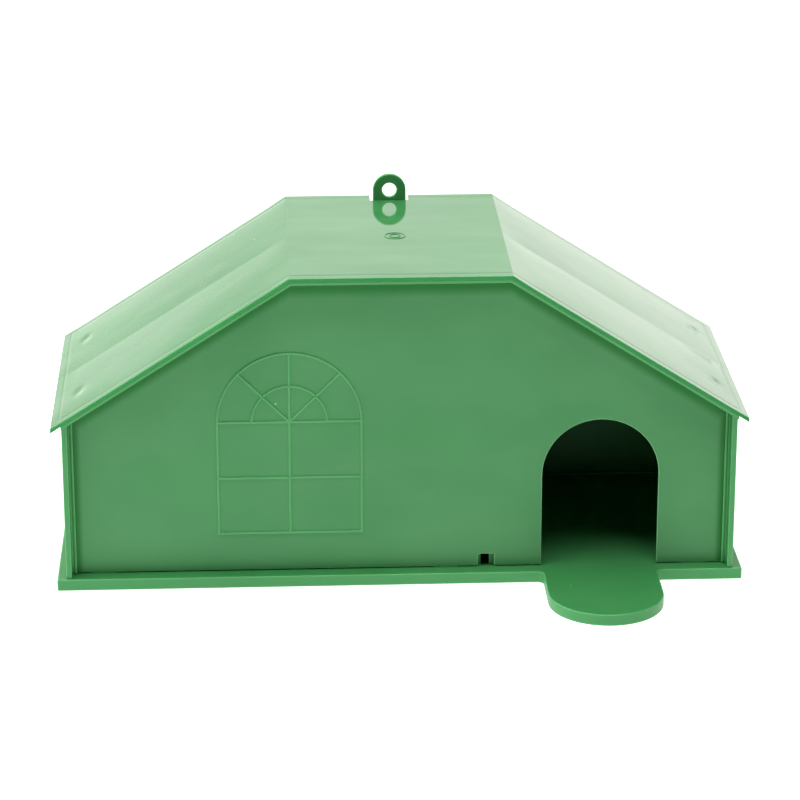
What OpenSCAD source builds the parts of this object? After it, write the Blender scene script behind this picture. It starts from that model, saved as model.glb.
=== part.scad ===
// House-shaped rodent bait station.
// A gabled plastic box on a plate with a porch, closed by a lift-off roof.
// Frame: millimetres, +Z up, -Y is the side with the doorway, +X to its right.
// The origin is the centre of the bounding box, on the surface it stands on.

/* [Base] */
// Width of the base plate, left to right
base_w = 300; // [280:1:340]
// Depth of the base plate, front to back, without the porch
base_d = 122; // [110:1:140]
// Height of the base plate from the ground to its top face
base_h = 5.2; // [4.6:0.1:7]
// Thickness of the floor, and of the skirt around it
floor_t = 2.2; // [1.6:0.1:2.6]
// Width of the porch tongue
porch_w = 50; // [44:1:54]
// How far the porch reaches in front of the plate
porch_len = 49; // [40:1:60]

/* [House] */
// Thickness of the end walls
wall_t = 2.5; // [1.8:0.1:2.6]
// Thickness of the front panel, the back panel and the baffle
panel_t = 2; // [1.6:0.1:2.4]
// How far the front panel is set back from the edge of the plate
front_recess = 7; // [6:0.5:10]
// How far the back panel is set in from the back edge of the plate
back_recess = 4.4; // [2.4:0.2:6]

/* [Roof] */
// Width of the roof, eave to eave
roof_w = 301; // [299:0.5:303]
// Width of the flat top between the two ridges
ridge_w = 95; // [90:1:110]
// Height of the roof's top face at the eaves
eave_z = 76; // [75:0.2:84]
// Height of the flat top
ridge_z = 141.8; // [140:0.2:150]
// Thickness of the roof sheet
roof_t = 1.6; // [1.4:0.1:2.6]
// How far the roof stands out past the base plate, front and back
overhang = 2.5; // [2:0.1:4]

/* [Doorway] */
// Centre of the doorway and of the porch, right of the middle
door_x = 87.4; // [80:0.2:92]
// Width of the doorway
door_w = 51; // [44:1:54]
// Height of the doorway's straight sides above the floor
door_side_h = 42.5; // [36:0.1:46]

/* [Window relief] */
// Centre of the window relief, left of the middle
window_x = -48; // [-60:1:-45]
// Radius of the window's arch, to the middle of its bar
window_r = 31.2; // [26:0.2:34]
// Height of the sill bar
window_sill_z = 23; // [18:1:26]
// Height where the window's arch springs
window_spring_z = 74.4; // [70:0.2:76]
// Width of the raised bars
bar_w = 1; // [0.8:0.1:1.4]
// Height of the bars above the panel
bar_h = 0.5; // [0.3:0.1:0.6]

/* [Hanging tab] */
// Width of the tab, which ends in a half circle
tab_w = 15; // [12:0.2:16]
// Radius of the hole in the tab
tab_hole_r = 3.25; // [2.5:0.05:4]
// Height of the hole's centre
tab_hole_z = 146.5; // [146:0.1:150]

/* [Bait] */
// Diameter of the steel bait rods
rod_d = 3.2; // [3:0.1:4]
// Length of a bait block along its rod
block_len = 25; // [20:1:27]
// Width and height of a bait block
block_w = 28; // [22:1:28]
// Height of the bait tray's rim above the base plate
tray_h = 12; // [9:1:14]

/* [Hidden] */

$fn = 64;
eps = 0.01;
green = "#4d9a5e";
bait_blue = "#3d6f8f";
steel = "#b8bcc0";

// Depths are counted from the front edge of the plate.
y_front = -(porch_len + base_d + overhang) / 2 + porch_len;
y_mid = y_front + base_d / 2;
half_w = base_w / 2;

skirt_t = 2;
porch_fillet_r = 3;
play = 0.2;                     // gap at a fit that is pushed together by hand

// End walls.
wall_out_x = half_w - 4;
wall_in_x = wall_out_x - wall_t;
wall_inset_y = 1.1;
lip_reach = 2;                  // how far a channel's lips stand in from the wall
lip_t = 1.2;
bead_w = 1;                     // bead along the front lip's free edge
bead_h = 0.7;
inner_lip_t = 1.5;
groove_play = 0.1;

front_y = front_recess;                        // outer face of the front panel
back_y = base_d - back_recess - panel_t;       // inner face of the back panel

// Foot tabs of the end walls, in slots in the floor.
tab_len = 16;
tab_depth = 2.8;
foot_y = [20, base_d / 2, base_d - 20];

// Roof.
eave_x = roof_w / 2;
ridge_x = ridge_w / 2;
slope = (ridge_z - eave_z) / (eave_x - ridge_x);
pitch = atan(slope);
roof_lip_t = 1.6;
roof_lip_drop = 1.4;
roof_lip_inset = 0.2;           // how far the lips stand in from the sheet's edges
roof_gap = 0.3;                 // between the roof sheet and what stands under it
guide_drop = 3;
guide_t = 1.5;
stiffener_drop = 4;
stiffener_t = 1.6;
clip_len = 12;
clip_t = 1.8;
clip_depth = 12;
clip_y = [26, base_d - 24];
tab_notch_w = 17.6;
edge_line = 4.2;                // distance of the fine line from the front and back edges
edge_line_side = 3;             // its distance from the eaves
edge_line_w = 1.2;
edge_line_depth = 0.3;
gate_r = 4.8;
gate_h = 0.3;
gate_y = base_d / 2 - 2;        // its middle, from the front edge of the plate

// Baffle.
baffle_x = 45;
passage_w = 46;
passage_y = base_d - 38;
passage_side_h = 34;
channel_rib_t = 1.5;
channel_reach = 3;
channel_top_z = 130;

// The front panel stands on short feet, which leave a thin gap above the plate.
foot_gap = 0.5;
panel_foot_w = 10;
panel_feet = [-130, 20, 130];

// The front panel's bottom notch and the split stop that stands behind it.
notch_x = 37.7;
notch_w = 7;
notch_h = 6;
stop_w = 8.2;
stop_h = 6.6;
stop_t = 1.6;
stop_slot_w = 3.6;
stop_slot_shift = -0.4;         // the slot's middle, from the notch's middle

// Bait tray, its posts and the two rods that lie across it.
tray_x = [-132, -8];
tray_y = [20, 98];
tray_wall = 1.6;
tray_floor = 1.6;
row_y = [tray_y[0] + 20, tray_y[1] - 20];
post_w = 12;
post_top = 5;                   // height of a post above its rod's middle
rod_play = 0.15;
rod_end = 3;                    // how far a rod stands out past the tray
rod_bend_r = 5;
rod_handle = 10;
blocks_per_rod = 4;
block_hole_r = 3;
block_clear = 2.5;              // gap between the blocks and the tray's floor
block_gap = 3;
block_chamfer = 3;
hang = block_hole_r - rod_d / 2 - 0.05;
block_z = base_h + tray_floor + block_clear + block_w / 2;
rod_z = block_z + hang;

floor_rib_h = 2;
floor_rib_t = 1.6;

// Height of the plane that lies a thickness t under the roof's top face, at x.
function under(x, t) =
    min(ridge_z - t, ridge_z - t / cos(pitch) - slope * (abs(x) - ridge_x));

// Where that plane turns from the flat top to the slope.
function turn_x(t) = ridge_x - t * tan(pitch / 2);

// A plate drawn in X and Z, from depth y0 to depth y1.
module along_y(y0, y1) {
    translate([0, y_front + y1, 0])
        rotate([90, 0, 0])
            linear_extrude(y1 - y0)
                children();
}

// A box from corner a to corner b, its depths counted from the plate's front edge.
module block(a, b) {
    translate([a[0], y_front + a[1], a[2]])
        cube([b[0] - a[0], b[1] - a[1], b[2] - a[2]]);
}

// The house's outline in X and Z: half width, distance under the roof's top face, foot.
module gable(x, t, z0) {
    polygon([[-x, z0], [x, z0], [x, under(x, t)], [turn_x(t), ridge_z - t],
             [-turn_x(t), ridge_z - t], [-x, under(x, t)]]);
}

// A band that follows the roof, from t0 to t1 under its top face.
module roof_band(x, t0, t1) {
    difference() {
        gable(x, t0, 0);
        translate([0, -eps])
            gable(x + 1, t1, 0);
    }
}

// A round-headed opening in X and Z, standing on z0.
module arch(x, w, z0, side_h) {
    translate([x - w / 2, z0])
        square([w, side_h]);
    translate([x, z0 + side_h])
        circle(d = w, $fn = 96);
}

// ---- Base plate: a shallow tray turned over, with the porch on its front edge.

module plate_outline(inset) {
    w = base_w - 2 * inset;
    r = porch_w / 2 - inset;
    translate([-w / 2, y_front + inset])
        square([w, base_d - 2 * inset]);
    translate([door_x - r, y_front - porch_len + porch_w / 2])
        square([2 * r, porch_len]);
    translate([door_x, y_front - porch_len + porch_w / 2])
        circle(r = r, $fn = 96);
    for (s = [-1, 1])
        translate([door_x + s * r, y_front + inset])
            porch_fillet(s, porch_fillet_r);
}

// The rounded inner corner where the porch meets the plate.
module porch_fillet(s, r) {
    difference() {
        translate([s > 0 ? -eps : -r, -r])
            square([r + eps, r + eps]);
        translate([s * r, -r])
            circle(r = r);
    }
}

module underside_ribs() {
    rib_foot = 0.6;
    for (x = [-100 : 50 : 100])
        block([x - 0.7, skirt_t - eps, rib_foot],
              [x + 0.7, base_d - skirt_t + eps, base_h - floor_t + eps]);
    for (y = [39, 79])
        block([-half_w + skirt_t - eps, y - 0.7, rib_foot],
              [half_w - skirt_t + eps, y + 0.7, base_h - floor_t + eps]);
}

// A low rib on the floor that keeps a panel's foot in line.
module floor_rib(x0, x1, y0) {
    block([x0, y0, base_h - eps], [x1, y0 + floor_rib_t, base_h + floor_rib_h]);
}

module floor_ribs() {
    end_x = wall_in_x - lip_reach - 0.3;
    gap = channel_rib_t + panel_t / 2 + 1;
    behind_front = front_y + panel_t + play;
    before_back = back_y - play - floor_rib_t;
    floor_rib(-end_x, notch_x - 4, behind_front);
    floor_rib(baffle_x + gap, door_x - door_w / 2 - 1, behind_front);
    floor_rib(door_x + door_w / 2 + 1, end_x, behind_front);
    floor_rib(-end_x, baffle_x - gap, before_back);
    floor_rib(baffle_x + gap, end_x, before_back);
}

// Corner pieces that the bait tray drops between.
module tray_corners() {
    leg = 12;
    t = floor_rib_t;
    c = 0.4;
    z0 = base_h - eps;
    z1 = base_h + floor_rib_h;
    for (i = [0, 1], j = [0, 1]) {
        sx = i == 0 ? -1 : 1;
        sy = j == 0 ? -1 : 1;
        x = tray_x[i] + sx * c;
        y = tray_y[j] + sy * c;
        block([min(x, x + sx * t), min(y + sy * t, y - sy * leg), z0],
              [max(x, x + sx * t), max(y + sy * t, y - sy * leg), z1]);
        block([min(x + sx * t, x - sx * leg), min(y, y + sy * t), z0],
              [max(x + sx * t, x - sx * leg), max(y, y + sy * t), z1]);
    }
}

// The split stop behind the front panel's bottom notch.
module panel_stop() {
    y0 = front_y + panel_t + 0.3;
    slot_x = notch_x + stop_slot_shift;
    difference() {
        block([notch_x - stop_w / 2, y0, base_h - eps],
              [notch_x + stop_w / 2, y0 + stop_t, base_h + stop_h]);
        block([slot_x - stop_slot_w / 2, y0 - 1, base_h],
              [slot_x + stop_slot_w / 2, y0 + stop_t + 1, base_h + stop_h + 1]);
    }
}

module foot_slots() {
    for (s = [-1, 1], y = foot_y) {
        x = s * (wall_in_x + wall_out_x) / 2;
        block([x - wall_t / 2 - 0.1, y - tab_len / 2 - play, base_h - floor_t - 1],
              [x + wall_t / 2 + 0.1, y + tab_len / 2 + play, base_h + 1]);
    }
}

module base_plate() {
    color(green)
        difference() {
            union() {
                difference() {
                    linear_extrude(base_h)
                        plate_outline(0);
                    translate([0, 0, -1])
                        linear_extrude(base_h - floor_t + 1)
                            plate_outline(skirt_t);
                }
                underside_ribs();
                floor_ribs();
                tray_corners();
                panel_stop();
            }
            foot_slots();
        }
}

// ---- End walls: a plate with a channel for a panel at each edge.

module channel_lips(top_t) {
    x0 = wall_in_x - lip_reach;
    x1 = wall_in_x + eps;
    front_lip_y = front_y - groove_play - lip_t;
    back_lip_y = back_y + panel_t + groove_play;
    wall_strip(x0, x1, front_lip_y + bead_h, front_lip_y + lip_t, top_t);
    wall_strip(x0, x0 + bead_w, front_lip_y, front_lip_y + lip_t, top_t);
    wall_strip(x0, x1, back_lip_y, back_lip_y + lip_t, top_t);
    for (y = [front_y + panel_t + groove_play, back_y - groove_play - inner_lip_t])
        wall_strip(x0, x1, y, y + inner_lip_t, top_t);
}

// An upright strip whose top follows the roof.
module wall_strip(x0, x1, y0, y1, top_t) {
    along_y(y0, y1)
        polygon([[x0, base_h], [x1, base_h], [x1, under(x1, top_t)], [x0, under(x0, top_t)]]);
}

module right_wall_shape() {
    top_t = roof_t + roof_gap;
    wall_strip(wall_in_x, wall_out_x, wall_inset_y, base_d - wall_inset_y, top_t);
    channel_lips(top_t);
    for (y = foot_y)
        block([wall_in_x + 0.1, y - tab_len / 2, base_h - tab_depth],
              [wall_out_x - 0.1, y + tab_len / 2, base_h + eps]);
}

module right_end_wall() {
    color(green)
        right_wall_shape();
}

module left_end_wall() {
    color(green)
        mirror([1, 0, 0])
            right_wall_shape();
}

// ---- Front and back panels.

// Two ribs on a panel's inner face that hold the edge of the baffle.
module baffle_channel(y0, y1) {
    for (s = [-1, 1]) {
        x = baffle_x + s * (panel_t / 2 + groove_play + channel_rib_t / 2);
        block([x - channel_rib_t / 2, y0, base_h + floor_rib_h],
              [x + channel_rib_t / 2, y1, channel_top_z]);
    }
}

// Half of a ring, open side down.
module half_ring(r) {
    intersection() {
        difference() {
            circle(r = r + bar_w / 2, $fn = 96);
            circle(r = r - bar_w / 2, $fn = 96);
        }
        translate([-r - bar_w, 0])
            square([2 * (r + bar_w), r + bar_w]);
    }
}

// A raised bar that runs from a to b.
module bar(a, b) {
    d = b - a;
    translate(a)
        rotate(atan2(d[1], d[0]))
            translate([0, -bar_w / 2])
                square([norm(d), bar_w]);
}

module window_bars() {
    fan_r = window_r * 0.523;
    h = window_spring_z - window_sill_z;
    end = window_r + bar_w / 2;
    translate([window_x, window_spring_z]) {
        half_ring(window_r);
        half_ring(fan_r);
        for (a = [45, 90, 135])
            bar([0, 0], window_r * [cos(a), sin(a)]);
        for (z = [0, -h / 2, -h])
            bar([-end, z], [end, z]);
        for (x = [-window_r, 0, window_r])
            bar([x, 0], [x, -h]);
    }
}

module front_panel() {
    color(green)
        union() {
            along_y(front_y, front_y + panel_t)
                difference() {
                    union() {
                        gable(wall_in_x - play, roof_t + roof_gap, base_h + foot_gap);
                        for (x = panel_feet)
                            translate([x - panel_foot_w / 2, base_h])
                                square([panel_foot_w, foot_gap + 1]);
                    }
                    arch(door_x, door_w, base_h - 1, door_side_h + 1);
                    translate([notch_x - notch_w / 2, base_h - 1])
                        square([notch_w, notch_h + 1]);
                }
            along_y(front_y - bar_h, front_y + eps)
                window_bars();
            baffle_channel(front_y + panel_t - eps, front_y + panel_t + channel_reach);
        }
}

module back_panel() {
    color(green)
        difference() {
            union() {
                along_y(back_y, back_y + panel_t)
                    union() {
                        gable(wall_in_x - play, roof_t + roof_gap, base_h);
                        translate([-tab_w / 2, ridge_z - 20])
                            square([tab_w, tab_hole_z - ridge_z + 20]);
                        translate([0, tab_hole_z])
                            circle(d = tab_w, $fn = 96);
                    }
                baffle_channel(back_y - channel_reach, back_y + eps);
            }
            translate([0, y_front + back_y - 1, tab_hole_z])
                rotate([-90, 0, 0])
                    cylinder(r = tab_hole_r, h = panel_t + 2);
        }
}

// ---- Roof: one bent sheet with a lip front and back, guides, stiffeners and four clips.

module roof_lips() {
    t1 = roof_t + roof_lip_drop;
    y0 = roof_lip_inset - overhang;
    y1 = base_d + overhang - roof_lip_inset - roof_lip_t;
    for (y = [y0, y1])
        along_y(y, y + roof_lip_t)
            roof_band(wall_out_x, roof_t - eps, t1);
}

// Mirrors its child to the left side for s = -1.
module scale_x(s) {
    if (s > 0)
        children();
    else
        mirror([1, 0, 0])
            children();
}

// A strip along the slope, from x0 to x1 and from t0 to t1 under the top face.
module roof_strip(x0, x1, y0, y1, t0, t1) {
    along_y(y0, y1)
        polygon([[x0, under(x0, t1)], [x1, under(x1, t1)], [x1, under(x1, t0)], [x0, under(x0, t0)]]);
}

// Ribs just inside the two panels, which keep their top edges upright.
module roof_guides() {
    x = wall_in_x - lip_reach - 0.3;
    for (y = [front_y + panel_t + 0.4, back_y - 0.4 - guide_t])
        along_y(y, y + guide_t)
            roof_band(x, roof_t - eps, roof_t + guide_drop);
}

module roof_stiffeners() {
    x1 = wall_in_x - lip_reach - 0.3;
    for (s = [-1, 1])
        scale_x(s)
            roof_strip(ridge_x + 4, x1, base_d / 2 - stiffener_t / 2,
                       base_d / 2 + stiffener_t / 2, roof_t - eps, roof_t + stiffener_drop);
}

// Tongues that press on the inside of the end walls.
module roof_clips() {
    x1 = wall_in_x - 0.4;
    x0 = x1 - clip_t;
    z0 = under(x0, roof_t) - clip_depth;
    for (s = [-1, 1], y = clip_y)
        scale_x(s)
            along_y(y - clip_len / 2, y + clip_len / 2)
                polygon([[x0, z0 + 1], [x0 + 1, z0], [x1, z0], [x1, under(x1, roof_t - eps)],
                         [x0, under(x0, roof_t - eps)]]);
}

// A fine line sunk into the roof's top face, a little way in from its edges.
module roof_edge_line() {
    t1 = edge_line_depth;
    y0 = edge_line - overhang;
    y1 = base_d + overhang - edge_line;
    x1 = eave_x - edge_line_side;
    for (y = [y0, y1 - edge_line_w])
        along_y(y, y + edge_line_w)
            roof_band(x1, -1, t1);
    for (s = [-1, 1])
        scale_x(s)
            roof_strip(x1 - edge_line_w, x1, y0, y1, -1, t1);
}

module gate_ring() {
    translate([0, y_front + gate_y, ridge_z - eps])
        difference() {
            cylinder(r = gate_r, h = gate_h + eps);
            translate([0, 0, -1])
                cylinder(r = gate_r - 0.6, h = gate_h + 2);
        }
}

module roof() {
    color(green)
        difference() {
            union() {
                along_y(-overhang, base_d + overhang)
                    roof_band(eave_x, 0, roof_t);
                gate_ring();
                roof_lips();
                roof_guides();
                roof_stiffeners();
                roof_clips();
            }
            roof_edge_line();
            block([-tab_notch_w / 2, back_y - play, ridge_z - 10],
                  [tab_notch_w / 2, base_d + overhang + 1, ridge_z + 1]);
        }
}

// ---- Baffle between the entry lobby and the bait chamber.

module baffle_wall() {
    top_z = ridge_z - roof_t - guide_drop - 0.4;
    y0 = front_y + panel_t + play;
    y1 = back_y - play;
    color(green)
        difference() {
            block([baffle_x - panel_t / 2, y0, base_h], [baffle_x + panel_t / 2, y1, top_z]);
            translate([baffle_x - panel_t, y_front, 0])
                rotate([90, 0, 90])
                    linear_extrude(2 * panel_t)
                        arch(passage_y, passage_w, base_h - 1, passage_side_h + 1);
        }
}

// ---- Bait tray, with a slotted post at both ends of each rod.

module tray_box() {
    difference() {
        block([tray_x[0], tray_y[0], base_h], [tray_x[1], tray_y[1], base_h + tray_h]);
        block([tray_x[0] + tray_wall, tray_y[0] + tray_wall, base_h + tray_floor],
              [tray_x[1] - tray_wall, tray_y[1] - tray_wall, base_h + tray_h + 1]);
    }
}

module rod_slot(y) {
    r = rod_d / 2 + rod_play;
    translate([tray_x[0] - 1, y_front + y, rod_z])
        rotate([0, 90, 0])
            cylinder(r = r, h = tray_x[1] - tray_x[0] + 2);
    block([tray_x[0] - 1, y - r, rod_z], [tray_x[1] + 1, y + r, rod_z + post_top + 1]);
}

module bait_tray() {
    color(green)
        difference() {
            union() {
                tray_box();
                for (x = [tray_x[0], tray_x[1] - tray_wall], y = row_y)
                    block([x, y - post_w / 2, base_h + eps],
                          [x + tray_wall, y + post_w / 2, rod_z + post_top]);
            }
            for (y = row_y)
                rod_slot(y);
        }
}

// ---- Bait rods: straight wires with one end bent up as a handle.

module bait_rod(y) {
    x0 = tray_x[0] - rod_end;
    x1 = tray_x[1] + rod_end;
    color(steel)
        translate([x0, y_front + y, rod_z]) {
            rotate([0, 90, 0])
                cylinder(d = rod_d, h = x1 - x0);
            translate([x1 - x0, 0, rod_bend_r])
                rotate([90, 0, 0])
                    rotate([0, 0, -90])
                        rotate_extrude(angle = 90)
                            translate([rod_bend_r, 0])
                                circle(d = rod_d, $fn = 32);
            translate([x1 - x0 + rod_bend_r, 0, rod_bend_r])
                cylinder(d = rod_d, h = rod_handle);
        }
}

module bait_rod_front() { bait_rod(row_y[0]); }
module bait_rod_rear() { bait_rod(row_y[1]); }

// ---- Bait blocks: bars of wax with cut corners, which hang on a rod by a hole.

module bait_block(y, i) {
    row_len = blocks_per_rod * block_len + (blocks_per_rod - 1) * block_gap;
    x0 = (tray_x[0] + tray_x[1] - row_len) / 2 + i * (block_len + block_gap);
    w = block_w / 2;
    c = block_chamfer;
    color(bait_blue)
        translate([x0, y_front + y, block_z])
            rotate([90, 0, 90])
                linear_extrude(block_len)
                    difference() {
                        polygon([[-w + c, -w], [w - c, -w], [w, -w + c], [w, w - c],
                                 [w - c, w], [-w + c, w], [-w, w - c], [-w, -w + c]]);
                        circle(r = block_hole_r, $fn = 32);
                    }
}

module bait_block_front_1() { bait_block(row_y[0], 0); }
module bait_block_front_2() { bait_block(row_y[0], 1); }
module bait_block_front_3() { bait_block(row_y[0], 2); }
module bait_block_front_4() { bait_block(row_y[0], 3); }
module bait_block_rear_1() { bait_block(row_y[1], 0); }
module bait_block_rear_2() { bait_block(row_y[1], 1); }
module bait_block_rear_3() { bait_block(row_y[1], 2); }
module bait_block_rear_4() { bait_block(row_y[1], 3); }

base_plate();
left_end_wall();
right_end_wall();
front_panel();
back_panel();
roof();
baffle_wall();
bait_tray();
bait_rod_front();
bait_rod_rear();
bait_block_front_1();
bait_block_front_2();
bait_block_front_3();
bait_block_front_4();
bait_block_rear_1();
bait_block_rear_2();
bait_block_rear_3();
bait_block_rear_4();
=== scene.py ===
import math

import bmesh
import bpy
from mathutils import Matrix, Vector


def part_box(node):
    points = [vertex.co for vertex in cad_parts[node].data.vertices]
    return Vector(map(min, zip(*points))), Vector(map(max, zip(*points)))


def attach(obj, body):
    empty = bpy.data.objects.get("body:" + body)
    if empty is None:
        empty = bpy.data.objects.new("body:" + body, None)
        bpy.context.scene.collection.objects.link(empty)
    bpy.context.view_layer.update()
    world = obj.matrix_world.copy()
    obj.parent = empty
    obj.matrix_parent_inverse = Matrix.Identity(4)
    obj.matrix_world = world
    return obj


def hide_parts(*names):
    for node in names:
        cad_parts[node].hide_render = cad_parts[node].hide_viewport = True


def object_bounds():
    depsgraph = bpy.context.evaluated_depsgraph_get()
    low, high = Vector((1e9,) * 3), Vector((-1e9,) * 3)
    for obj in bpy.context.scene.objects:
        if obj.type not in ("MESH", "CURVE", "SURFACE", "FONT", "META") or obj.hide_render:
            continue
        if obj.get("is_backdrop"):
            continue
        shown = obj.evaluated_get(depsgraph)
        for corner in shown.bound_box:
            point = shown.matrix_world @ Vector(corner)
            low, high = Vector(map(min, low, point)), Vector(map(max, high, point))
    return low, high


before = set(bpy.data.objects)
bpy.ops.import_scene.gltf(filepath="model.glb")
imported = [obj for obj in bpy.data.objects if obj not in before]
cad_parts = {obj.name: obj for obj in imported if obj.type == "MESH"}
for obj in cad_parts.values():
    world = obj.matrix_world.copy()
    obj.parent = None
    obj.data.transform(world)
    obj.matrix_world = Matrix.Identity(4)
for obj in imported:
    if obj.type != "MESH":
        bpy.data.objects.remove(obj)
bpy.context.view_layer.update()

# ---- Base plate
# The tray that the whole house stands on, turned over so that its skirt meets the ground. It is
# one green polypropylene moulding with a porch tongue in front of the doorway, low ribs that keep
# the panels' feet in line, corner pieces for the bait tray, and a split stop behind the front panel.

MM = 0.001
plate_low, plate_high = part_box("base_plate")
plate_half_w = plate_high.x
plate_depth = 122 * MM
plate_front = plate_high.y - plate_depth
plate_top = 5.2 * MM
floor_thick = 2.2 * MM
skirt_thick = 2 * MM
porch_x = 87.4 * MM
porch_r = 25 * MM
porch_root_r = 3 * MM
floor_rib_top = plate_top + 2 * MM
floor_rib_thick = 1.6 * MM
edge_round = 0.5 * MM
edge_face_width = 6 * MM


def depth(mm):
    """A place's Y, from its distance in millimetres behind the plate's front edge."""
    return plate_front + mm * MM


def arc(u, v, radius, start, end, steps):
    """Points on a circle round (u, v), from the start angle to the end angle in degrees."""
    turns = [math.radians(start + (end - start) * i / steps) for i in range(steps + 1)]
    return [(u + radius * math.cos(t), v + radius * math.sin(t)) for t in turns]


def slab(bm, loops, axis, start, end):
    """A plate with the outline loops[0] and the other loops as holes, across X, Y or Z."""
    place = {
        "X": lambda u, v: (start, u, v),
        "Y": lambda u, v: (u, start, v),
        "Z": lambda u, v: (u, v, start),
    }[axis]
    edges = []
    for loop in loops:
        corners = [bm.verts.new(place(u, v)) for u, v in loop]
        edges += [bm.edges.new(pair) for pair in zip(corners, corners[1:] + corners[:1])]
    filled = bmesh.ops.triangle_fill(bm, use_beauty=True, use_dissolve=len(loops) == 1, edges=edges)
    faces = [part for part in filled["geom"] if isinstance(part, bmesh.types.BMFace)]
    grown = bmesh.ops.extrude_face_region(bm, geom=faces)["geom"]
    far = [part for part in grown if isinstance(part, bmesh.types.BMVert)]
    shift = Vector((0, 0, 0))
    shift["XYZ".index(axis)] = end - start
    bmesh.ops.translate(bm, verts=far, vec=shift)


def brick(bm, low, high):
    """A box between two corners."""
    low, high = Vector(low), Vector(high)
    size = Matrix.Diagonal((*(high - low), 1))
    bmesh.ops.create_cube(bm, size=1, matrix=Matrix.Translation((low + high) / 2) @ size)


def narrow(face):
    """Whether a face is the thin edge of a wall or a rib."""
    return face.calc_area() / max(edge.calc_length() for edge in face.edges) < edge_face_width


def moulding(name, bm, materials, body, nodes, width=edge_round, is_edge=narrow):
    """Makes a piece from bm with rounded edges, which stands for CAD nodes and rides a body.

    The first material is for its broad faces. The second, if any, is for its thin edges, and the
    third for its rounded corners.
    """
    bmesh.ops.recalc_face_normals(bm, faces=bm.faces)
    if len(materials) > 1:
        for face in bm.faces:
            face.material_index = int(is_edge(face))
    mesh = bpy.data.meshes.new(name)
    bm.to_mesh(mesh)
    bm.free()
    mesh.shade_smooth()
    piece = bpy.data.objects.new(name, mesh)
    bpy.context.collection.objects.link(piece)
    for material in materials:
        mesh.materials.append(material)
    if width:
        rounding = piece.modifiers.new("rounded edges", "BEVEL")
        rounding.width = width
        rounding.segments = 3
        rounding.limit_method = "ANGLE"
        rounding.angle_limit = math.radians(28)
        rounding.harden_normals = True
        rounding.miter_outer = "MITER_ARC"
        rounding.material = 2 if len(materials) > 2 else -1
    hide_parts(*nodes)
    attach(piece, body)
    return piece


def linear(hex_code):
    """An sRGB hex colour as linear red, green, blue and alpha."""
    values = [int(hex_code[i : i + 2], 16) / 255 for i in (1, 3, 5)]
    return [v / 12.92 if v <= 0.04045 else ((v + 0.055) / 1.055) ** 2.4 for v in values] + [1]


def add(tree, kind, inputs, **settings):
    """Adds a node. An input's value is a number, a colour, or the output that feeds it."""
    made = tree.nodes.new("ShaderNode" + kind)
    for key, value in settings.items():
        setattr(made, key, value)
    for key, value in inputs.items():
        if isinstance(value, bpy.types.NodeSocket):
            tree.links.new(value, made.inputs[key])
        else:
            made.inputs[key].default_value = value
    return made


def per_metre(mm):
    """The scale of a pattern that repeats about every so many millimetres."""
    return 1 / (mm * MM)


def polypropylene(name, pale, deep, gloss, haze, ripple, dust, film=0.0):
    """Injection-moulded polypropylene, dyed through.

    The dye drifts between pale and deep over a few centimetres. The skin's roughness drifts
    from gloss to haze where the melt cooled unevenly, and ripple is the height in millimetres
    of the slow waves that bend its reflections. A fine grain lies over it all, with pale specks
    of dust on dust's share of a 9 mm grid. Film is the share of white that handling has left in
    streaks along X, the way the melt ran.
    """
    material = bpy.data.materials.new(name)
    material.use_nodes = True
    tree = material.node_tree
    shader = tree.nodes["Principled BSDF"]
    place = add(tree, "TexCoord", {}).outputs["Object"]
    drift = add(tree, "TexNoise", {"Vector": place, "Scale": per_metre(55), "Detail": 3.0})
    dye = add(tree, "MapRange", {"Value": drift.outputs["Fac"], "From Min": 0.35, "From Max": 0.65})
    colour = add(tree, "Mix", {0: dye.outputs[0], 6: linear(deep), 7: linear(pale)}, data_type="RGBA")

    along = add(tree, "Mapping", {"Vector": place, "Scale": (0.35, 1.0, 1.0)})
    streaks = add(
        tree, "TexNoise",
        {"Vector": along.outputs[0], "Scale": per_metre(26), "Detail": 3.0},
    )
    share = add(
        tree, "MapRange",
        {"Value": streaks.outputs["Fac"], "From Min": 0.42, "From Max": 0.68, "To Max": film},
    )
    colour = add(
        tree, "Mix", {0: share.outputs[0], 6: colour.outputs[2], 7: linear("#e8ebe4")},
        data_type="RGBA",
    )

    cells = add(tree, "TexVoronoi", {"Vector": place, "Scale": per_metre(9)})
    near = add(tree, "Math", {0: cells.outputs["Distance"], 1: 0.034}, operation="LESS_THAN")
    draw = add(tree, "SeparateColor", {"Color": cells.outputs["Color"]})
    chosen = add(tree, "Math", {0: draw.outputs[0], 1: dust}, operation="LESS_THAN")
    speck = add(tree, "Math", {0: near.outputs[0], 1: chosen.outputs[0]}, operation="MULTIPLY")
    dusty = add(
        tree, "Mix",
        {0: speck.outputs[0], 6: colour.outputs[2], 7: linear("#c9d6c4")},
        data_type="RGBA",
    )
    tree.links.new(dusty.outputs[2], shader.inputs["Base Color"])

    cloud = add(tree, "TexNoise", {"Vector": place, "Scale": per_metre(24), "Detail": 5.0})
    skin = add(
        tree, "MapRange",
        {"Value": cloud.outputs["Fac"], "From Min": 0.35, "From Max": 0.7,
         "To Min": gloss, "To Max": haze},
    )
    tree.links.new(skin.outputs[0], shader.inputs["Roughness"])

    waves = add(tree, "TexNoise", {"Vector": place, "Scale": per_metre(30), "Detail": 1.0})
    slow = add(
        tree, "Bump",
        {"Height": waves.outputs["Fac"], "Strength": 1.0, "Distance": ripple * MM},
    )
    grain = add(tree, "TexNoise", {"Vector": place, "Scale": per_metre(0.9), "Detail": 2.0})
    fine = add(
        tree, "Bump",
        {"Height": grain.outputs["Fac"], "Strength": 0.25, "Distance": 0.02 * MM,
         "Normal": slow.outputs[0]},
    )
    tree.links.new(fine.outputs[0], shader.inputs["Normal"])
    shader.inputs["IOR"].default_value = 1.49
    return material


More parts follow.
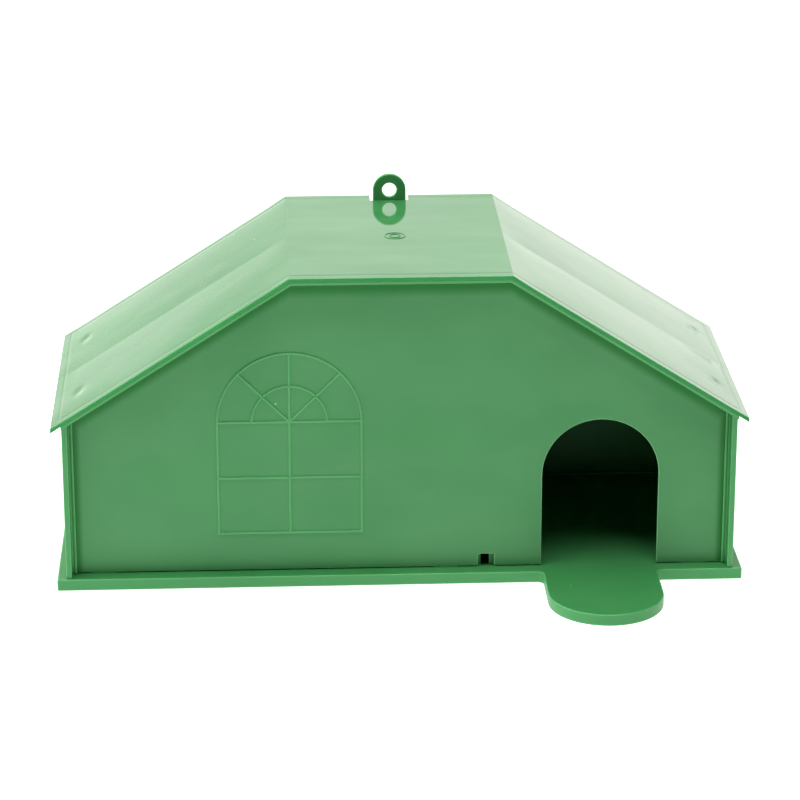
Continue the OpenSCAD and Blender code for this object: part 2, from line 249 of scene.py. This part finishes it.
# Satin skin from a lightly blasted mould: soft, broken reflections and a faint milky drift. The thin
# edges get a paler dye, painted light that stands for light coming back out of the thickness, and
# the rounded corners get a paler dye still, a painted highlight.
satin_green = [
    polypropylene("polypropylene_moulded_satin", pale="#3f914f", deep="#388a4a",
                  gloss=0.4, haze=0.5, ripple=0.25, dust=0.14, film=0.012),
    polypropylene("polypropylene_satin_edge_painted_light", pale="#3f9b53", deep="#3b944e",
                  gloss=0.4, haze=0.5, ripple=0.1, dust=0.0),
    polypropylene("polypropylene_corner_painted_highlight", pale="#5ab46a", deep="#50a860",
                  gloss=0.35, haze=0.45, ripple=0.05, dust=0.0),
]


def plate_outline():
    """The plate seen from above with its porch."""
    w, root_y = plate_half_w, plate_front - porch_root_r
    reach = porch_r + porch_root_r
    return (
        [(-w, plate_front)]
        + arc(porch_x - reach, root_y, porch_root_r, 90, 0, 6)
        + arc(porch_x, plate_low.y + porch_r, porch_r, 180, 360, 40)
        + arc(porch_x + reach, root_y, porch_root_r, 180, 90, 6)
        + [(w, plate_front), (w, plate_high.y), (-w, plate_high.y)]
    )


def floor_rib(bm, x0, x1, y0):
    """A low rib on the floor that keeps a panel's foot in line."""
    brick(bm, (x0, y0, plate_top - floor_thick / 2), (x1, y0 + floor_rib_thick, floor_rib_top))


def hollow(bm, face, wall, shift):
    """Sinks a face into its solid, and leaves a wall round it."""
    bmesh.ops.inset_region(bm, faces=[face], thickness=wall, use_even_offset=True)
    sunk_face = bmesh.ops.extrude_discrete_faces(bm, faces=[face])["faces"][0]
    bmesh.ops.translate(bm, verts=sunk_face.verts, vec=shift)


bm = bmesh.new()
slab(bm, [plate_outline()], "Z", plate_low.z, plate_top)
bmesh.ops.recalc_face_normals(bm, faces=bm.faces)
ground_face = min(bm.faces, key=lambda face: face.calc_center_median().z)
hollow(bm, ground_face, skirt_thick, (0, 0, plate_top - floor_thick))
underside_rib_half = 0.7 * MM
underside_rib_pitch = 50 * MM
underside_z = [0.6 * MM, plate_top - floor_thick + 0.1 * MM]
for x in [n * underside_rib_pitch for n in (-2, -1, 0, 1, 2)]:
    brick(bm, (x - underside_rib_half, depth(1), underside_z[0]),
          (x + underside_rib_half, depth(121), underside_z[1]))
for y in (depth(39), depth(79)):
    brick(bm, (-plate_half_w + MM, y - underside_rib_half, underside_z[0]),
          (plate_half_w - MM, y + underside_rib_half, underside_z[1]))
rib_end = 141.2 * MM
past_baffle = 48.5 * MM
for x0, x1 in ((-rib_end, 33.7 * MM), (past_baffle, 60.9 * MM), (113.9 * MM, rib_end)):
    floor_rib(bm, x0, x1, depth(9.2))
for x0, x1 in ((-rib_end, 41.5 * MM), (past_baffle, rib_end)):
    floor_rib(bm, x0, x1, depth(113.8))

tray_low, tray_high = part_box("bait_tray")
corner_gap = 0.4 * MM
corner_leg = 12 * MM
for x, sx in ((tray_low.x, -1), (tray_high.x, 1)):
    for y, sy in ((tray_low.y, -1), (tray_high.y, 1)):
        x_in, y_in = x + sx * corner_gap, y + sy * corner_gap
        x_out, y_out = x_in + sx * floor_rib_thick, y_in + sy * floor_rib_thick
        legs = [(x_in, x_out, y_out, y_in - sy * corner_leg),
                (x_out, x_in - sx * corner_leg, y_in, y_out)]
        for x0, x1, y0, y1 in legs:
            brick(bm, (min(x0, x1), min(y0, y1), plate_top - MM),
                  (max(x0, x1), max(y0, y1), floor_rib_top))

stop_x = 37.7 * MM
stop_halves = [(-4.1 * MM, -2.2 * MM), (1.4 * MM, 4.1 * MM)]
for x0, x1 in stop_halves:
    brick(bm, (stop_x + x0, depth(9.3), plate_top - MM),
          (stop_x + x1, depth(10.9), plate_high.z))
moulding("base_plate_moulding", bm, satin_green, "house", ["base_plate"])

# ---- End walls
# Two flat green mouldings that plug into slots in the floor. Pairs of upright lips on their
# inner faces make the channels in which the front panel and the back panel slide.

wall_low, wall_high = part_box("right_end_wall")
wall_out = wall_high.x
wall_in = wall_out - 2.5 * MM
lip_in = wall_low.x
roof_low, roof_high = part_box("roof")
eave_half = roof_high.x
ridge_half = 47.5 * MM
ridge_top = 141.8 * MM
eave_top = 76 * MM
fall = (ridge_top - eave_top) / (eave_half - ridge_half)
pitch = math.atan(fall)
under_roof = 1.9 * MM
panel_front = depth(7)
panel_back = depth(115.6)
panel_thick = 2 * MM
lip_spans = [(5.7, 6.9), (9.1, 10.6), (114, 115.5), (117.7, 118.9)]
bead_w = 1 * MM
bead_h = 0.7 * MM
socket_y = [depth(20), depth(61), depth(102)]
socket_half = 8 * MM


def under(x, cover):
    """Height of the plane that lies cover below the roof's top face, at x."""
    slope = ridge_top - cover / math.cos(pitch) - fall * (abs(x) - ridge_half)
    return min(ridge_top - cover, slope)


def end_wall(side):
    """A wall for the right side (1) or the left side (-1)."""
    bm = bmesh.new()
    comb = [(wall_in, wall_low.y), (wall_out, wall_low.y), (wall_out, wall_high.y),
            (wall_in, wall_high.y)]
    for near, far in reversed(lip_spans[1:]):
        near, far = depth(near), min(depth(far), wall_high.y - 0.02 * MM)
        comb += [(wall_in, far), (lip_in, far), (lip_in, near), (wall_in, near)]
    near, far = [depth(edge) for edge in lip_spans[0]]
    comb += [(wall_in, far), (lip_in, far), (lip_in, near), (lip_in + bead_w, near),
             (lip_in + bead_w, near + bead_h), (wall_in, near + bead_h)]
    slab(bm, [comb], "Z", plate_top, wall_high.z + MM)
    cut = bmesh.ops.bisect_plane(
        bm, geom=bm.verts[:] + bm.edges[:] + bm.faces[:], clear_outer=True,
        plane_co=(wall_out, 0, under(wall_out, under_roof)), plane_no=(fall, 0, 1),
    )
    rim = [part for part in cut["geom_cut"] if isinstance(part, bmesh.types.BMEdge)]
    bmesh.ops.contextual_create(bm, geom=rim)
    for y in socket_y:
        brick(bm, (wall_in + 0.1 * MM, y - socket_half, wall_low.z),
              (wall_out - 0.1 * MM, y + socket_half, plate_top + 0.1 * MM))
    if side < 0:
        bmesh.ops.scale(bm, vec=(-1, 1, 1), verts=bm.verts)
    return bm


moulding("right_end_wall_moulding", end_wall(1), satin_green, "house",
         ["right_end_wall"])
moulding("left_end_wall_moulding", end_wall(-1), satin_green, "house",
         ["left_end_wall"])

# ---- Front panel
# A flat gable of the same green plastic that slides down between the channel lips and stands on
# short feet. The arched doorway and a small notch in front of the floor's stop are open at its foot,
# and an arched window is drawn on its face in thin raised bars.

panel_half = 143.3 * MM
door_r = 25.5 * MM
door_spring = 47.7 * MM
foot_x = [-130 * MM, 20 * MM, 130 * MM]
foot_half = 5 * MM
foot_gap = 0.5 * MM
notch_x = [34.2 * MM, 41.2 * MM]
notch_top = 11.2 * MM
baffle_low, baffle_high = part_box("baffle_wall")
baffle_x = (baffle_low.x + baffle_high.x) / 2
channel_top = 130 * MM


def ridge_turn(cover):
    """Where the plane that lies cover below the roof turns from flat to sloping."""
    return ridge_half - cover * math.tan(pitch / 2)


def gable_line(half, cover):
    """The roof's outline from the right eave to the left, cover below its top face."""
    turn, flat = ridge_turn(cover), ridge_top - cover
    return [(half, under(half, cover)), (turn, flat), (-turn, flat), (-half, under(half, cover))]


def baffle_channel(bm, y0, y1):
    """Two upright ribs that hold an edge of the baffle."""
    off_middle, rib_half = 1.85 * MM, 0.75 * MM
    for side in (-1, 1):
        x = baffle_x + side * off_middle
        brick(bm, (x - rib_half, y0, floor_rib_top), (x + rib_half, y1, channel_top))


def foot(x, bottom):
    """The outline of one foot below the panel's bottom edge, from left to right."""
    left, right = x - foot_half, x + foot_half
    return [(left, bottom), (left, plate_top), (right, plate_top), (right, bottom)]


def bottom_edge(bottom):
    """The panel's bottom edge from left to right, with its feet, notch and doorway."""
    line = [(-panel_half, bottom)] + foot(foot_x[0], bottom) + foot(foot_x[1], bottom)
    line += [(notch_x[0], bottom), (notch_x[0], notch_top), (notch_x[1], notch_top),
             (notch_x[1], bottom), (porch_x - door_r, bottom)]
    line += arc(porch_x, door_spring, door_r, 180, 0, 48)
    line += [(porch_x + door_r, bottom)] + foot(foot_x[2], bottom) + [(panel_half, bottom)]
    return line


window_x = -48 * MM
window_r = 31.2 * MM
window_spring = 74.4 * MM
window_sill = 23 * MM
fan_r = 16.3 * MM
bar_half = 0.5 * MM
bar_raise = 0.5 * MM
rim_shade = 12.5 * MM
rim_fade = 5.5 * MM
lip_shade = 3.6 * MM
lip_shade_full = 0.5 * MM


def window_bar(bm, start, end):
    """A straight raised bar between two points on the panel's face."""
    start, end = Vector(start), Vector(end)
    side = (end - start).normalized().orthogonal() * bar_half
    outline = [start + side, end + side, end - side, start - side]
    slab(bm, [outline], "Y", panel_front - bar_raise, panel_front + 0.3 * MM)


def paint_margin_shade(skin):
    """Paints shade into a skin: a darker dye under the rim and beside the end walls' lips."""
    tree = skin.node_tree
    shader = tree.nodes["Principled BSDF"]
    feed = shader.inputs["Base Color"].links[0].from_socket
    spot = add(tree, "SeparateXYZ", {0: add(tree, "TexCoord", {}).outputs["Object"]})
    out = add(tree, "Math", {0: spot.outputs[0]}, operation="ABSOLUTE")
    slope = add(
        tree, "Math", {0: out.outputs[0], 1: -fall, 2: ridge_top + fall * ridge_half},
        operation="MULTIPLY_ADD",
    )
    line = add(tree, "Math", {0: slope.outputs[0], 1: ridge_top}, operation="MINIMUM")
    below = add(tree, "Math", {0: line.outputs[0], 1: spot.outputs[2]}, operation="SUBTRACT")
    near_rim = add(
        tree, "MapRange",
        {"Value": below.outputs[0], "From Min": rim_shade - rim_fade, "From Max": rim_shade,
         "To Min": 1.0, "To Max": 0.0},
        interpolation_type="SMOOTHSTEP",
    )
    near_lip = add(
        tree, "MapRange",
        {"Value": out.outputs[0], "From Min": lip_in - lip_shade,
         "From Max": lip_in - lip_shade_full},
        interpolation_type="SMOOTHSTEP",
    )
    most = add(tree, "Math", {0: near_rim.outputs[0], 1: near_lip.outputs[0]}, operation="MAXIMUM")
    # Painted shade: the darker dye is mixed in where the rim's and the lips' shadows fall.
    painted_shade = add(
        tree, "Mix", {0: most.outputs[0], 6: feed, 7: linear("#1b762b")}, data_type="RGBA",
    )
    tree.links.new(painted_shade.outputs[2], shader.inputs["Base Color"])


# Painted shade: a darker dye lies in the band under the rim and beside the lips, where their
# shadows fall. The rest of the gable has a paler dye, and its skin mirrors little. Its rounded
# corners carry a pale painted highlight.
panel_green = [
    polypropylene("polypropylene_satin_gable", pale="#4f965c", deep="#489056",
                  gloss=0.4, haze=0.5, ripple=0.25, dust=0.14, film=0.012),
    satin_green[1],
    # The rounded corners: a pale dye painted on as a highlight.
    polypropylene("polypropylene_gable_corner_painted_highlight", pale="#8fd29a", deep="#85c890",
                  gloss=0.3, haze=0.4, ripple=0.05, dust=0.0),
]
gable_shader = panel_green[0].node_tree.nodes["Principled BSDF"]
gable_shader.inputs["Specular IOR Level"].default_value = 0.25
# Painted shade under the rim and beside the lips.
paint_margin_shade(panel_green[0])

bm = bmesh.new()
slab(bm, [bottom_edge(plate_top + foot_gap) + gable_line(panel_half, under_roof)], "Y",
     panel_front, panel_front + panel_thick)
baffle_channel(bm, panel_front + panel_thick - 0.2 * MM, panel_front + panel_thick + 3 * MM)
moulding("front_panel_moulding", bm, panel_green, "house", ["front_panel"])

bm = bmesh.new()
for radius in (window_r, fan_r):
    ring = arc(window_x, window_spring, radius + bar_half, 0, 180, 48)
    ring += arc(window_x, window_spring, radius - bar_half, 180, 0, 48)
    slab(bm, [ring], "Y", panel_front - bar_raise, panel_front + 0.3 * MM)
for turn in (45, 90, 135):
    spoke = Vector((math.cos(math.radians(turn)), math.sin(math.radians(turn)))) * window_r
    hub = Vector((window_x, window_spring))
    window_bar(bm, hub, hub + spoke)
window_ends = [window_x - window_r - bar_half, window_x + window_r + bar_half]
for z in (window_sill, (window_sill + window_spring) / 2, window_spring):
    window_bar(bm, (window_ends[0], z), (window_ends[1], z))
for x in (window_x - window_r, window_x, window_x + window_r):
    window_bar(bm, (x, window_sill), (x, window_spring))
moulding("front_window_relief", bm, satin_green, "house", ["front_panel"],
         width=0.35 * MM)

# ---- Back panel
# The same gable without openings, from whose top edge a round-headed tab stands up through the
# roof. The hole in the tab takes a nail or a hook.

tab_half = 7.5 * MM
tab_hole_r = 3.25 * MM
tab_hole_z = 146.5 * MM

bm = bmesh.new()
rim = gable_line(panel_half, under_roof)
tab_root = ridge_top - under_roof
outline = [(-panel_half, plate_top), (panel_half, plate_top)] + rim[:2]
outline += [(tab_half, tab_root)] + arc(0, tab_hole_z, tab_half, 0, 180, 32)
outline += [(-tab_half, tab_root)] + rim[2:]
slab(bm, [outline, arc(0, tab_hole_z, tab_hole_r, 0, 348.75, 31)], "Y",
     panel_back, panel_back + panel_thick)
baffle_channel(bm, panel_back - 3 * MM, panel_back + 0.2 * MM)
moulding("back_panel_moulding", bm, satin_green, "house", ["back_panel"],
         is_edge=lambda face: abs(face.normal.y) < 0.5)

# ---- Baffle
# A plain green wall that stands in the two panels' ribs and turns the doorway into a lobby. Its
# own arched passage lies at the back, so that nothing outside can reach the bait in a line.

passage_y = depth(84)
passage_r = 23 * MM
passage_spring = plate_top + 34 * MM

bm = bmesh.new()
outline = [(baffle_low.y, plate_top), (passage_y - passage_r, plate_top)]
outline += arc(passage_y, passage_spring, passage_r, 180, 0, 40)
outline += [(passage_y + passage_r, plate_top), (baffle_high.y, plate_top),
            (baffle_high.y, baffle_high.z), (baffle_low.y, baffle_high.z)]
slab(bm, [outline], "X", baffle_low.x, baffle_high.x)
moulding("baffle_moulding", bm, satin_green, "house", ["baffle_wall"])

# ---- Bait tray
# An open green tray that drops between the floor's corner pieces. A slotted post at both ends
# of each row holds a rod clear of the tray's floor, so that the bait stays dry.

tray_wall = 1.6 * MM
tray_rim = plate_top + 12 * MM
rod_r = 1.6 * MM
rod_z = 24.65 * MM
row_y = [depth(40), depth(78)]
post_half = 6 * MM
slot_r = rod_r + 0.15 * MM

bm = bmesh.new()
brick(bm, tray_low, (tray_high.x, tray_high.y, tray_rim))
mouth = max(bm.faces, key=lambda face: face.calc_center_median().z)
hollow(bm, mouth, tray_wall, (0, 0, tray_wall - (tray_rim - plate_top)))
for x in (tray_low.x, tray_high.x - tray_wall):
    for y in row_y:
        post = [(y - post_half, plate_top + 0.1 * MM), (y + post_half, plate_top + 0.1 * MM),
                (y + post_half, tray_high.z), (y + slot_r, tray_high.z)]
        post += arc(y, rod_z, slot_r, 0, -180, 16)
        post += [(y - slot_r, tray_high.z), (y - post_half, tray_high.z)]
        slab(bm, [post], "X", x, x + tray_wall)
moulding("bait_tray_moulding", bm, satin_green, "tray", ["bait_tray"])

# ---- Bait rods
# Straight galvanised wires, one end of each bent up as a handle. They lie loose in the tray's
# slots and lift out with their blocks.

wire = bpy.data.materials.new("galvanised_steel_drawn")
wire.use_nodes = True
tree = wire.node_tree
shader = tree.nodes["Principled BSDF"]
place = add(tree, "TexCoord", {}).outputs["Object"]
# Cool grey metal, whose zinc skin is paler and duller in patches of a few millimetres.
patches = add(tree, "TexNoise", {"Vector": place, "Scale": per_metre(4), "Detail": 4.0})
zinc = add(
    tree, "Mix", {0: patches.outputs["Fac"], 6: linear("#9a9da0"), 7: linear("#c4c7c9")},
    data_type="RGBA",
)
tree.links.new(zinc.outputs[2], shader.inputs["Base Color"])
dull = add(tree, "MapRange", {"Value": patches.outputs["Fac"], "To Min": 0.28, "To Max": 0.5})
tree.links.new(dull.outputs[0], shader.inputs["Roughness"])
shader.inputs["Metallic"].default_value = 1.0

bend_r = 5 * MM


def bait_rod(row, y):
    """One rod: a straight wire, a quarter turn and the handle."""
    low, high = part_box("bait_rod_" + row)
    bm = bmesh.new()
    facing = Matrix.Translation((low.x, y, rod_z)) @ Matrix.Rotation(math.radians(90), 4, "Y")
    bmesh.ops.create_circle(bm, cap_ends=True, segments=16, radius=rod_r, matrix=facing)
    tip = bm.faces[:]
    bend_x = high.x - rod_r - bend_r

    grown = bmesh.ops.extrude_face_region(bm, geom=tip)["geom"]
    tip = [part for part in grown if isinstance(part, bmesh.types.BMFace)]
    bmesh.ops.translate(bm, verts=tip[0].verts, vec=(bend_x - low.x, 0, 0))
    bent = bmesh.ops.spin(
        bm, geom=tip, cent=(bend_x, y, rod_z + bend_r), axis=(0, 1, 0),
        angle=math.radians(-90), steps=8,
    )["geom_last"]
    tip = [part for part in bent if isinstance(part, bmesh.types.BMFace)]
    tip = bmesh.ops.extrude_discrete_faces(bm, faces=tip)["faces"]
    bmesh.ops.translate(bm, verts=tip[0].verts, vec=(0, 0, high.z - rod_z - bend_r))
    return bm


for row, y in zip(("front", "rear"), row_y):
    moulding("bait_rod_wire_" + row, bait_rod(row, y), [wire], row + "_rod",
             ["bait_rod_" + row], width=0.3 * MM)

# ---- Bait blocks
# Blue-dyed wax pressed round crushed grain, with grooves down the sides for gnawing and a hole
# for the rod.

wax = bpy.data.materials.new("paraffin_wax_pressed_with_grain")
wax.use_nodes = True
tree = wax.node_tree
shader = tree.nodes["Principled BSDF"]
place = add(tree, "TexCoord", {}).outputs["Object"]
# Pale grains of 2 mm show through the dye, which settles darker between them.
grain = add(tree, "TexVoronoi", {"Vector": place, "Scale": per_metre(2.2), "Randomness": 1.0})
husk = add(tree, "ValToRGB", {0: grain.outputs["Distance"]})
husk.color_ramp.elements[0].color = linear("#7fa3b0")
husk.color_ramp.elements[1].color = linear("#2f6280")
tree.links.new(husk.outputs[0], shader.inputs["Base Color"])
crumb = add(
    tree, "Bump",
    {"Height": grain.outputs["Distance"], "Strength": 0.6, "Distance": 0.3 * MM}, invert=True,
)
tree.links.new(crumb.outputs[0], shader.inputs["Normal"])
shader.inputs["Roughness"].default_value = 0.62
shader.inputs["IOR"].default_value = 1.44

block_half = 14 * MM
block_z = 23.3 * MM
block_hole_r = 3 * MM
groove_half = 1.6 * MM


def block_outline(y):
    """A square with cut corners and two shallow grooves in each side."""
    corner, groove, sink = 11 * MM, [-5 * MM, 5 * MM], 1 * MM
    side = [(-corner, -block_half)]
    for middle in groove:
        side += [(middle - groove_half, -block_half), (middle, -block_half + sink),
                 (middle + groove_half, -block_half)]
    side += [(corner, -block_half)]
    turned = []
    for quarter in range(4):
        spin = Matrix.Rotation(math.radians(90 * quarter), 2)
        turned += [spin @ Vector(point) for point in side]
    return [(y + point.x, block_z + point.y) for point in turned]


for row, y in zip(("front", "rear"), row_y):
    for number in (1, 2, 3, 4):
        node = "bait_block_%s_%d" % (row, number)
        low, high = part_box(node)
        bm = bmesh.new()
        hole = arc(y, block_z, block_hole_r, 0, 345, 23)
        slab(bm, [block_outline(y), hole], "X", low.x, high.x)
        moulding("wax_block_%s_%d" % (row, number), bm, [wax], row + "_rod", [node],
                 width=0.5 * MM)

# ---- Roof
# One green moulding folded in three faces. Its lips, ribs and clips close on the walls below.
# It shows its making: a fine line near its edges, sunk marks over the clips and the middle
# ribs, which drew the plastic in, and a small ring at the gate.

# A gloss skin from a polished mould: clear reflections that bend gently over the sheet, and a thin
# milky film that lies in streaks. Its thin edges are duller, with a paler dye painted on as light,
# like the walls' edges.
polished_green = [
    polypropylene("polypropylene_moulded_polished", pale="#368446", deep="#327e42",
                  gloss=0.04, haze=0.12, ripple=0.1, dust=0.12, film=0.045),
    polypropylene("polypropylene_polished_edge_painted_light", pale="#3f9b53", deep="#3b944e",
                  gloss=0.15, haze=0.2, ripple=0.05, dust=0.0),
]

sheet_thick = 1.6 * MM
notch_half = 8.8 * MM
notch_front = panel_back - 0.2 * MM
line_inset = 4.2 * MM
line_side_inset = 3 * MM
line_side_depth = 0.06 * MM
line_w = 1.2 * MM
line_depth = 0.05 * MM
clip_y = [depth(26), depth(98)]
clip_line = 139 * MM
middle_y = depth(61)
gate_y = depth(59)
draw_depth = 0.3 * MM
draw_in = 10 * MM
draw_out = 8 * MM
mark_depth = 0.4 * MM
mark_along = 3.6 * MM
mark_across = 1.9 * MM
cell = 2.5 * MM
rim_draft = 0.45 * MM


def bell(distance, width):
    """1 at no distance, falling smoothly to almost nothing at twice the width."""
    return math.exp(-((distance / width) ** 2))


def sunk(x, y):
    """How far the top face is drawn in at a place."""
    ends = min(y - roof_low.y, roof_high.y - y) - line_inset
    side = eave_half - abs(x) - line_side_inset
    fold = 1 - abs(min(side, ends) - line_w / 2) / (line_w / 2)
    deep = line_depth if ends < side else line_side_depth
    sink = deep * math.sin(math.pi / 2 * max(0, fold)) ** 2
    if abs(x) > ridge_half:
        rib = min(1, (abs(x) - ridge_half) / draw_in) * min(1, (eave_half - abs(x)) / draw_out)
        across = abs(y - middle_y) / (roof_high.y - middle_y)
        sink += draw_depth * max(0, rib) * (1 - 4 * across * (1 - across))
        for spot in clip_y:
            sink += mark_depth * bell(y - spot, mark_along) * bell(abs(x) - clip_line, mark_across)
    return sink


def steps(low, high, spacing):
    """Places between low and high, spaced evenly."""
    count = max(1, round((high - low) / spacing))
    return [low + (high - low) * i / count for i in range(1, count)]


bm = bmesh.new()
outline = [(-eave_half, roof_low.y), (eave_half, roof_low.y), (eave_half, roof_high.y),
           (notch_half, roof_high.y), (notch_half, notch_front), (-notch_half, notch_front),
           (-notch_half, roof_high.y), (-eave_half, roof_high.y)]
slab(bm, [outline], "Z", 0, sheet_thick)
lines = [line_w * quarter / 4 for quarter in range(5)]
cuts_x = [s * (eave_half - line_side_inset - w) for s in (-1, 1) for w in lines]
cuts_x += [s * x for s in (-1, 1) for x in (ridge_half, ridge_turn(sheet_thick))]
cuts_x += [s * (clip_line + w * MM) for s in (-1, 1) for w in (-2.4, -1.2, 0, 1.2, 2.4)]
for start, end in ((-eave_half, -ridge_half), (-ridge_half, ridge_half), (ridge_half, eave_half)):
    cuts_x += steps(start, end, cell)
cuts_y = [roof_low.y + line_inset + w for w in lines]
cuts_y += [roof_high.y - line_inset - w for w in lines]
cuts_y += steps(roof_low.y, roof_high.y, cell) + [middle_y]
for cuts, normal in ((cuts_x, (1, 0, 0)), (cuts_y, (0, 1, 0))):
    for place in cuts:
        whole = bm.verts[:] + bm.edges[:] + bm.faces[:]
        bmesh.ops.bisect_plane(bm, geom=whole, plane_co=Vector(normal) * place, plane_no=normal)
for vert in bm.verts:
    top = vert.co.z > sheet_thick / 2
    sink = sunk(vert.co.x, vert.co.y) if top else 0
    if top and vert.co.y in (roof_low.y, roof_high.y):
        vert.co.y -= math.copysign(rim_draft, vert.co.y)
    vert.co.z = under(vert.co.x, 0 if top else sheet_thick) - sink

ring_raise = 0.28 * MM
for ring_r, ring_w in ((4.5 * MM, 0.6 * MM), (2.4 * MM, 0.5 * MM)):
    outer, inner = [arc(0, gate_y, ring_r + s * ring_w / 2, 0, 350, 35) for s in (1, -1)]
    slab(bm, [outer, inner], "Z", ridge_top - 0.1 * MM, ridge_top + ring_raise)

lip_thick = 1.6 * MM
lip_cover = sheet_thick + 1.4 * MM
sheet_root = sheet_thick - 0.01 * MM
front_lip_y = depth(-2.3)
rear_lip_y = depth(122.7)
guide_y = [depth(9.4), depth(113.7)]
guide_thick = 1.5 * MM
middle_rib_half = 0.8 * MM
clip_reach = 12 * MM


def band(half, top, bottom):
    """A band that follows the roof, between two distances below its top face."""
    return gable_line(half, top) + gable_line(half, bottom)[::-1]


def slope_strip(side, x0, x1, cover):
    """A strip below one slope of the sheet that reaches cover below the roof's top face."""
    corners = [(x0, under(x0, cover)), (x1, under(x1, cover)),
               (x1, under(x1, sheet_root)), (x0, under(x0, sheet_root))]
    return [(side * x, z) for x, z in corners]


slab(bm, [band(wall_out, sheet_root, lip_cover)], "Y", front_lip_y, front_lip_y + lip_thick)
for side in (-1, 1):
    top, bottom = [[(side * x, z) for x, z in gable_line(wall_out, cover)[:2]]
                   for cover in (sheet_root, lip_cover)]
    half_band = top + [(side * notch_half, top[1][1]), (side * notch_half, bottom[1][1])]
    slab(bm, [half_band + bottom[::-1]], "Y", rear_lip_y, rear_lip_y + lip_thick)
for y in guide_y:
    slab(bm, [band(rib_end, sheet_root, sheet_thick + 3 * MM)], "Y", y, y + guide_thick)
clip_out, clip_in, clip_half = wall_in - 0.4 * MM, wall_in - 2.2 * MM, 6 * MM
for side in (-1, 1):
    rib = slope_strip(side, ridge_half + 4 * MM, rib_end, sheet_thick + 4 * MM)
    slab(bm, [rib], "Y", middle_y - middle_rib_half, middle_y + middle_rib_half)
    clip_end = under(clip_in, sheet_thick) - clip_reach
    clip = [(clip_in, clip_end + MM), (clip_in + MM, clip_end), (clip_out, clip_end),
            (clip_out, under(clip_out, sheet_root)), (clip_in, under(clip_in, sheet_root))]
    for y in clip_y:
        slab(bm, [[(side * x, z) for x, z in clip]], "Y", y - clip_half, y + clip_half)
moulding("roof_moulding", bm, polished_green, "roof_cover", ["roof"],
         is_edge=lambda face: abs(face.normal.z) < 0.3)

# ---- Floor, light and camera
# A white paper sweep, softboxes above, behind, in front and on the left, and a room with two
# bright walls for the polished roof to mirror.

bpy.ops.mesh.primitive_plane_add(size=14, location=(0, 0, 0))
floor = bpy.context.object
floor.name = "studio_floor"
floor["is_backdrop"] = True
# Matt paper, lit until it shows no shade of its own.
paper = bpy.data.materials.new("white_paper_sweep")
paper.use_nodes = True
shader = paper.node_tree.nodes["Principled BSDF"]
shader.inputs["Base Color"].default_value = linear("#b0b0b0")
shader.inputs["Roughness"].default_value = 0.9
shader.inputs["Emission Color"].default_value = linear("#ffffff")
shader.inputs["Emission Strength"].default_value = 1.1
floor.data.materials.append(paper)

scene = bpy.context.scene
scene.view_settings.view_transform = "Standard"
scene.world = bpy.data.worlds.new("bright_room")
scene.world.use_nodes = True
tree = scene.world.node_tree
# Two white walls glow behind the house, the right one brighter. They are brightest low down, dim
# a little above that, bright again higher up, and fade out overhead.
way = add(tree, "TexCoord", {}).outputs["Generated"]
height = add(tree, "SeparateXYZ", {0: way})
fade = add(tree, "ValToRGB", {0: height.outputs[2]})
stops = fade.color_ramp.elements
stops[0].color = (1, 1, 1, 1)
stops[1].position, stops[1].color = 0.7, (0, 0, 0, 1)
wall_shares = [(0.07, 0.86), (0.113, 0.68), (0.148, 0.56), (0.2, 0.6), (0.28, 0.85), (0.37, 0.85)]
for position, share in wall_shares:
    stops.new(position).color = (share, share, share, 1)
lobe_power = 3.0
glow = 0.02
for middle, strength in (((-0.5, 0.866, 0), 1.44), ((0.5, 0.866, 0), 1.56)):
    facing = add(tree, "VectorMath", {0: way, 1: middle}, operation="DOT_PRODUCT")
    lit = add(tree, "Math", {0: facing.outputs["Value"], 1: 0.0}, operation="MAXIMUM")
    lobe = add(tree, "Math", {0: lit.outputs[0], 1: lobe_power}, operation="POWER")
    glow = add(
        tree, "Math", {0: lobe.outputs[0], 1: strength, 2: glow}, operation="MULTIPLY_ADD",
    ).outputs[0]
wall_light = add(tree, "Math", {0: glow, 1: fade.outputs[0]}, operation="MULTIPLY")
backdrop = tree.nodes["Background"]
backdrop.inputs["Color"].default_value = linear("#fffcf8")
tree.links.new(wall_light.outputs[0], backdrop.inputs["Strength"])


def softbox(name, place, size, power):
    """A soft rectangular light aimed at the middle of the house."""
    light = bpy.data.objects.new(name, bpy.data.lights.new(name, "AREA"))
    bpy.context.collection.objects.link(light)
    light.data.shape = "RECTANGLE"
    light.data.size, light.data.size_y = size
    light.data.energy = power
    light.location = place
    light.rotation_euler = (Vector((0, 0, 0.07)) - light.location).to_track_quat("-Z", "Y").to_euler()


softbox("softbox_above", (0, 0.1, 1.5), (1.6, 1.2), 10)
softbox("softbox_behind", (0, 1.0, 1.3), (1.6, 0.7), 10)
softbox("softbox_front", (-0.2, -0.48, 1.7), (1.6, 0.8), 19.3)
softbox("softbox_left", (-1.6, 0.1, 1.0), (1.0, 0.8), 20)

camera = bpy.data.objects.new("camera", bpy.data.cameras.new("camera"))
bpy.context.collection.objects.link(camera)
camera.data.lens = 146
camera.location = (-0.0616, depth(-1309.4), 0.5557)
aim = Vector((-0.0005, plate_front, 0.0861))
camera.rotation_euler = (aim - camera.location).to_track_quat("-Z", "Y").to_euler()
scene.camera = camera

low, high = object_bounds()
